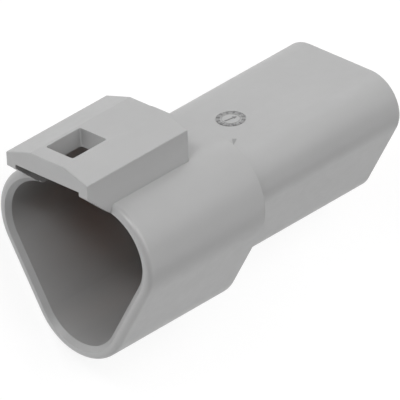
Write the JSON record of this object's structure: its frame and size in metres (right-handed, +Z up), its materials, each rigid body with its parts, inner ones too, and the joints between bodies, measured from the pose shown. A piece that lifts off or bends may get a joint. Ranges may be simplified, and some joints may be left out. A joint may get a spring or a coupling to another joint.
{
  "type": "sealed automotive connector",
  "caption": "Sealed in-line connector receptacle: triangular moulded hood with a windowed latch bridge, rear wire seal, wedge lock and pin contacts.",
  "frame": {"origin": "middle of the footprint, on the ground that the hood's flat left side lies on", "axes": "+X out of the mating hood along the contacts, +Z up as the connector lies, +Y towards the hood's other two sides"},
  "size_m": [0.0466, 0.026, 0.0217],
  "materials": {
    "grey_housing": "satin moulded",
    "seal_silicone": "satin silicone",
    "wedge_plastic": "satin moulded",
    "contact_metal": "nickel plated"
  },
  "bodies": {
    "shell": {"housing": "grey_housing", "wire_seal": "seal_silicone", "pin_contact_1": "contact_metal", "pin_contact_2": "contact_metal", "pin_contact_3": "contact_metal"},
    "wedge": {"wedge_lock": "wedge_plastic"}
  },
  "joints": [
    {"name": "wedge_slide", "type": "slide", "parent": "shell", "child": "wedge", "axis": [1, 0, 0], "range_m": [0, 0.0055]}
  ]
}
